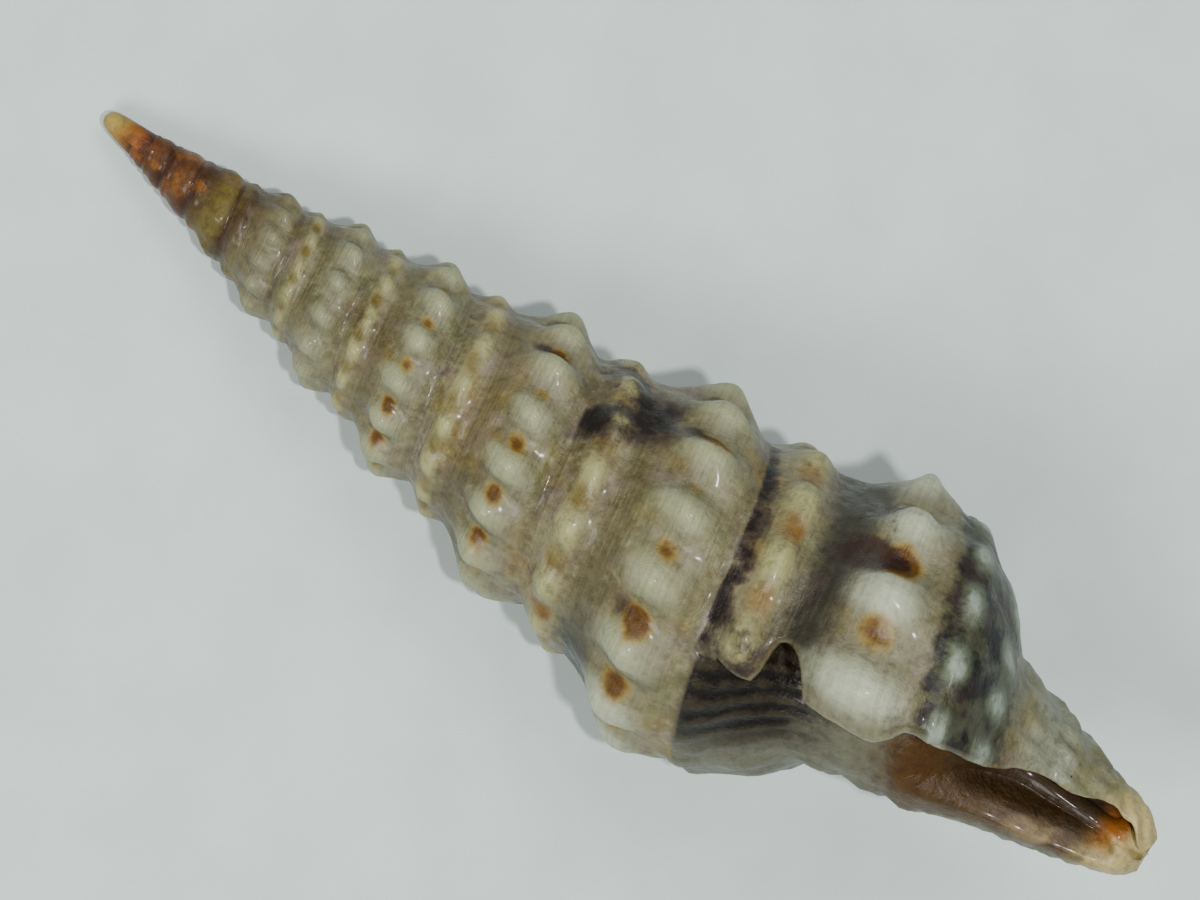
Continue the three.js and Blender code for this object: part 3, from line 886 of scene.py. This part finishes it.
def whorl_colour(s, c, marks, cloud, grain, wobble):
    """Mottled ground, then cord, beads, suture, knobs, brown spots, and dark stains with a painted shade
    by the lip's tongue over it.
    """
    ground = s.mix(s.step(cloud, 0.35, 0.65), c["ground"], c["ground_dark"])
    ground = s.mix(s.times(s.step(s.noise(1.9, 3.0), 0.5, 0.66), 0.55), ground, c["ground_yellow"])
    ground = s.mix(s.times(s.step(s.noise(1.3, 3.0), 0.5, 0.7), 0.5), ground, c["ground_green"])
    ground = s.mix(s.times(s.step(s.noise(0.7, 4.0), 0.48, 0.64), 0.6), ground, c["ground_grey"])
    ground = s.mix(s.times(s.step(grain, 0.52, 0.7), 0.35), ground, c["knob"])
    hollow = s.mix(marks["last"], c["sulcus"], c["sulcus_last"])
    deep = s.times(s.step(s.plus(marks["sulcus"], s.times(wobble, 0.5)), 0.15, 1.0),
                   s.plus(s.times(marks["last"], 0.3), 0.6))
    colour = s.mix(deep, ground, hollow)
    band = s.step(s.plus(marks["shoulder"], s.times(wobble, 0.5)), 0.2, 1.0)
    colour = s.mix(s.times(band, 0.7), colour, c["shoulder"])
    cord = s.step(s.plus(marks["cord"], s.times(wobble, 0.8)), 0.3, 1.0)
    colour = s.mix(s.times(cord, 0.75), colour, c["cord"])
    gap = s.step(s.plus(marks["gap"], s.times(wobble, 0.6)), 0.4, 0.95)
    uneven = s.plus(s.times(s.step(s.noise(1.1, 2.0), 0.42, 0.6), 0.4), 0.55)
    colour = s.mix(s.times(gap, uneven), colour, s.mix(marks["last"], c["gap"], c["gap_bright"]))
    bead = s.step(s.plus(marks["bead"], s.times(wobble, 0.5)), 0.3, 1.0)
    grown = s.plus(s.times(s.step(marks["along"], 0.17, 0.32), 0.6), 0.4)
    colour = s.mix(s.times(s.times(bead, 0.85), grown), colour, c["bead"])
    groove = s.step(s.plus(marks["groove"], s.times(wobble, 1.2)), 0.3, 1.1)
    broken = s.plus(s.times(s.step(s.noise(0.5, 3.0), 0.42, 0.58), 0.6), 0.25)
    suture = s.times(s.times(groove, broken), s.plus(s.times(marks["last"], 0.55), 0.5))
    colour = s.mix(suture, colour, c["groove"])
    knob = s.step(s.plus(marks["knob"], s.times(wobble, 0.35)), 0.1, 0.85)
    knob_colour = s.mix(marks["last"], c["knob"], c["knob_bright"])
    colour = s.mix(s.times(s.times(knob, 0.92), grown), colour, knob_colour)
    spot = s.plus(marks["spot"], s.times(wobble, 0.45))
    colour = s.mix(s.times(s.step(spot, 0.12, 0.45), 0.75), colour, c["spot_edge"])
    colour = s.mix(s.step(spot, 0.3, 0.65), colour, c["spot"])
    smear = s.step(s.plus(marks["smear"], s.times(wobble, 0.7)), 0.2, 0.75)
    colour = s.mix(s.times(smear, 0.92), colour, c["smear"])
    colour = s.mix(s.step(spot, 0.9, 1.35), colour, c["spot_dark"])
    patches = s.plus(s.times(s.step(s.noise(0.6, 4.0), 0.35, 0.65), 0.75), 0.45)
    # dark stains, and the painted shade on the lip's tongue
    stain_and_shade = s.plus(s.times(marks["stain_and_shade"], patches), s.times(wobble, 1.2))
    colour = s.mix(s.times(s.step(stain_and_shade, 0.12, 0.6), 0.85), colour, c["stain_and_shade_edge"])
    return s.mix(s.times(s.step(stain_and_shade, 0.4, 1.05), 0.94), colour, c["stain_and_shade"])


def base_colour(s, c, marks, cloud, wobble):
    """Dark beaded base, greenish canal, and the callus, ribs and brown edge beside the mouth."""
    dark = s.mix(s.step(s.noise(0.9, 2.0), 0.45, 0.6), c["base"], c["base_purple"])
    dark = s.mix(s.times(s.step(s.noise(0.55, 3.0), 0.45, 0.6), 0.85), dark, c["base_green"])
    bead = s.plus(marks["basebead"], s.times(wobble, 0.7))
    base = s.mix(s.times(s.step(bead, 0.2, 0.7), 0.9), dark, c["base_bead"])
    # painted highlight on the bead crests, over the beads' own pale colour
    base = s.mix(s.step(bead, 0.6, 1.0), base, c["bead_crest_highlight"])
    canal = s.mix(s.step(cloud, 0.42, 0.62), c["canal"], c["canal_shade"])
    canal = s.mix(s.times(s.step(s.noise(0.8, 3.0), 0.48, 0.62), 0.8), canal, c["canal_green"])
    lines = s.step(s.plus(marks["fine"], s.times(wobble, 1.5)), 0.4, -1.0)
    canal = s.mix(s.times(lines, 0.5), canal, c["canal_shade"])
    base = s.mix(s.step(marks["canal"], 0.1, 0.9), base, canal)
    below_callus = s.step(s.plus(marks["along"], s.times(wobble, 0.04)), 0.77, 0.8)
    lower = s.mix(below_callus, c["callus"], c["lower_canal"])
    lower = s.mix(s.times(s.step(s.noise(0.7, 3.0), 0.45, 0.65), s.step(marks["along"], 0.86, 0.95)),
                  lower, c["lower_pale"])
    on_columella = s.step(s.plus(marks["along"], s.times(wobble, 0.05)), 0.76, 0.8)
    brown = s.mix(on_columella, c["callus"], c["columella"])
    lower = s.mix(s.step(marks["parietal"], 0.2, 0.8), lower, brown)
    base = s.mix(marks["ventral"], base, lower)
    rib = s.mix(s.step(s.plus(marks["fine"], s.times(wobble, 4.0)), -0.5, 1.0), c["rib_dark"], c["rib"])
    near_suture = s.step(s.plus(marks["along"], s.times(wobble, 0.05)), 0.75, 0.7)
    return s.mix(s.times(marks["parietal"], near_suture), base, rib)


MARKS = (
    "knob", "shoulder", "bead", "gap", "cord", "sulcus", "spot", "smear", "groove", "stain_and_shade", "last",
    "base", "basebead", "canal", "parietal", "ventral", "fine", "trough", "inside", "rim", "along",
)
# How far along the shell the mouth and trough change colour, as a share of the length; the near-black
# start is the dark-brown interior with painted shade of the hollow added
HOLLOW_COLOURS = (
    (0.0, COLOURS["inside"]), (0.88, COLOURS["trough"]), (0.95, COLOURS["trough"]),
    (0.967, COLOURS["trough_end"]), (0.978, COLOURS["trough_end"]), (0.99, COLOURS["rim"]),
    (1.0, COLOURS["rim"]),
)
GLAZE = {
    "Specular IOR Level": 0.22,
    "Coat Weight": 0.14,
    "Coat Roughness": 0.14,
    "Subsurface Weight": 0.06,
    "Subsurface Radius": (0.0003, 0.0003, 0.0002),
}


def young_colour(s, c, marks, wobble):
    """Orange, brown and ochre bands of the youngest whorls."""
    young = s.ramp(marks["along"], YOUNG_COLOURS)
    blotch = s.step(s.noise(0.4, 3.0), 0.48, 0.66)
    reddish = s.math("SUBTRACT", 1.0, s.step(marks["along"], 0.09, 0.13))
    young = s.mix(s.times(s.times(blotch, reddish), 0.6), young, c["young_blotch"])
    groove = s.step(s.plus(marks["groove"], wobble), 0.2, 1.0)
    return s.mix(s.times(groove, 0.75), young, c["young_groove"])


def shell_material():
    s = Shader("shell_glaze")
    c = COLOURS
    marks = {name: s.mark(name) for name in MARKS}
    cloud = s.noise(1.6, 3.0)
    fleck = s.noise(0.35, 4.0, 0.6)
    fine = s.noise(0.12, 4.0, 0.65)
    grain = s.noise(0.2, 4.0, 0.6)
    wobble = s.math("SUBTRACT", fleck, 0.5)
    threads = s.spiral_noise(5.0, 42.0)
    growth = s.spiral_noise(150.0, 3.0)

    colour = whorl_colour(s, c, marks, cloud, grain, wobble)
    on_base = s.math("MAXIMUM", s.step(s.plus(marks["base"], s.times(wobble, 1.3)), 0.25, 0.85),
                     s.math("MAXIMUM", marks["canal"], marks["ventral"]))
    colour = s.mix(on_base, colour, base_colour(s, c, marks, cloud, wobble))
    hollow = s.ramp(marks["along"], HOLLOW_COLOURS)
    colour = s.mix(s.step(s.plus(marks["trough"], s.times(wobble, 0.6)), 0.2, 0.6), colour, hollow)
    # painted shade: the chamber's floor and roof take the near-black hollow colour
    colour = s.mix(s.step(marks["inside"], 0.0, 1.0), colour, hollow)
    end = s.step(s.plus(marks["along"], s.times(wobble, 0.02)), 0.975, 0.992)
    outside = s.math("SUBTRACT", 1.0, s.math("MAXIMUM", marks["trough"], marks["inside"]))
    paling = s.step(s.plus(marks["along"], s.times(wobble, 0.03)), 0.94, 0.98)
    end = s.math("MAXIMUM", end, s.times(paling, outside))
    colour = s.mix(s.times(end, 0.85), colour, c["rim"])
    colour = s.mix(s.times(marks["rim"], 0.15), colour, c["rim"])

    is_young = s.step(s.plus(marks["along"], s.times(wobble, 0.02)), 0.19, 0.14)
    colour = s.mix(is_young, colour, young_colour(s, c, marks, wobble))
    colour = s.mix(s.times(s.step(threads, 0.62, 0.35), 0.14), colour, c["ground_dark"], "MULTIPLY")
    colour = s.mix(s.times(s.step(growth, 0.6, 0.35), 0.05), colour, c["ground_dark"], "MULTIPLY")
    colour = s.mix(s.times(s.step(fine, 0.5, 0.8), 0.25), colour, c["knob_bright"], "SOFT_LIGHT")

    rough_share = s.math("SUBTRACT", 0.32, s.times(marks["knob"], 0.26))
    colour = s.mix(s.times(s.step(grain, 0.52, 0.34), rough_share), colour, c["ground_dark"], "MULTIPLY")

    bump = s.bump(threads, 0.6, 0.04)
    bump = s.bump(growth, 0.2, 0.02, bump)
    bump = s.bump(fleck, 0.6, 0.09, bump)
    bump = s.bump(fine, 0.5, 0.05, bump)
    bump = s.bump(grain, 0.4, 0.05, bump)

    shader = s.tree.nodes.new("ShaderNodeBsdfPrincipled")
    s.plug(shader.inputs["Base Color"], colour)
    rough = s.tree.nodes.new("ShaderNodeMapRange")
    s.plug(rough.inputs["Value"], fleck)
    rough.inputs["From Min"].default_value = 0.3
    rough.inputs["From Max"].default_value = 0.7
    rough.inputs["To Min"].default_value = 0.3
    rough.inputs["To Max"].default_value = 0.6
    dull = s.math("MAXIMUM", rough.outputs["Result"], s.times(marks["inside"], 0.75))
    s.plug(shader.inputs["Roughness"], dull)
    for name, value in GLAZE.items():
        shader.inputs[name].default_value = value
    s.plug(shader.inputs["Normal"], bump)
    return s.surface(shader)


def make_floor():
    half = PAPER_HALF_WIDTH
    mesh = bpy.data.meshes.new("paper")
    corners = [(-half, -half, 0), (half, -half, 0), (half, half, 0), (-half, half, 0)]
    mesh.from_pydata(corners, [], [(0, 1, 2, 3)])
    floor = bpy.data.objects.new("paper", mesh)
    bpy.context.scene.collection.objects.link(floor)
    s = Shader("paper_pale")
    tone = s.mix(s.step(s.noise(3.0, 4.0), 0.3, 0.7), COLOURS["paper"], COLOURS["paper_dark"])
    shader = s.tree.nodes.new("ShaderNodeBsdfPrincipled")
    s.plug(shader.inputs["Base Color"], tone)
    shader.inputs["Roughness"].default_value = PAPER_ROUGHNESS
    mesh.materials.append(s.surface(shader))


def area_light(name, position, size, power, colour):
    light = bpy.data.lights.new(name, "AREA")
    light.size = size
    light.energy = power
    light.color = colour
    lamp = bpy.data.objects.new(name, light)
    lamp.location = position
    lamp.rotation_euler = (-Vector(position)).to_track_quat("-Z", "Y").to_euler()
    bpy.context.scene.collection.objects.link(lamp)


def photo_frame():
    """Size of a photograph's pixel in millimetres, and the axis's direction in the picture."""
    line = CANAL_PIXEL - APEX_PIXEL
    pixel = SHELL_LENGTH / line.length
    return pixel, line.normalized()


def make_camera(shift):
    pixel, line = photo_frame()
    across_line = Vector((-line.y, line.x))
    to_centre = PHOTO_CENTRE - APEX_PIXEL
    target = Vector((to_centre.dot(line) * pixel, -to_centre.dot(across_line) * pixel, 0.0))
    lean = np.radians(CAMERA_LEAN)
    turn = rest_matrix()
    towards = turn @ Vector((np.sin(lean), 0.0, np.cos(lean)))
    shell_x = turn @ Vector((np.cos(lean), 0.0, -np.sin(lean)))
    shell_y = turn @ Vector((0.0, 1.0, 0.0))
    right = shell_x * line.x + shell_y * line.y
    up = shell_y * line.x - shell_x * line.y
    target = (turn @ target + Vector(shift)) * MM
    matrix = Matrix((right, up, towards)).transposed().to_4x4()
    matrix.translation = target + towards * CAMERA_DISTANCE
    data = bpy.data.cameras.new("camera")
    data.sensor_width = SENSOR_WIDTH
    data.lens = SENSOR_WIDTH * CAMERA_DISTANCE / (PHOTO_WIDTH * pixel * MM)
    data.clip_start = 0.01
    data.clip_end = 10.0
    camera = bpy.data.objects.new("camera", data)
    camera.matrix_world = matrix
    bpy.context.scene.collection.objects.link(camera)
    bpy.context.scene.camera = camera
    return up, right, towards


def make_light(up, right, towards):
    world = bpy.data.worlds.new("studio")
    world.use_nodes = True
    world.node_tree.nodes["Background"].inputs["Color"].default_value = SKY_COLOUR
    world.node_tree.nodes["Background"].inputs["Strength"].default_value = SKY_STRENGTH
    bpy.context.scene.world = world
    for name, (place_at, size, power, colour) in LIGHTS.items():
        position = towards * place_at[0] + up * place_at[1] + right * place_at[2]
        area_light(name, tuple(position), size, power, colour)


piece, rest_shift = make_shell_object()
piece.data.materials.append(shell_material())
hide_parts("shell")
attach(piece, "root")
make_floor()
up, right, towards = make_camera(rest_shift)
make_light(up, right, towards)
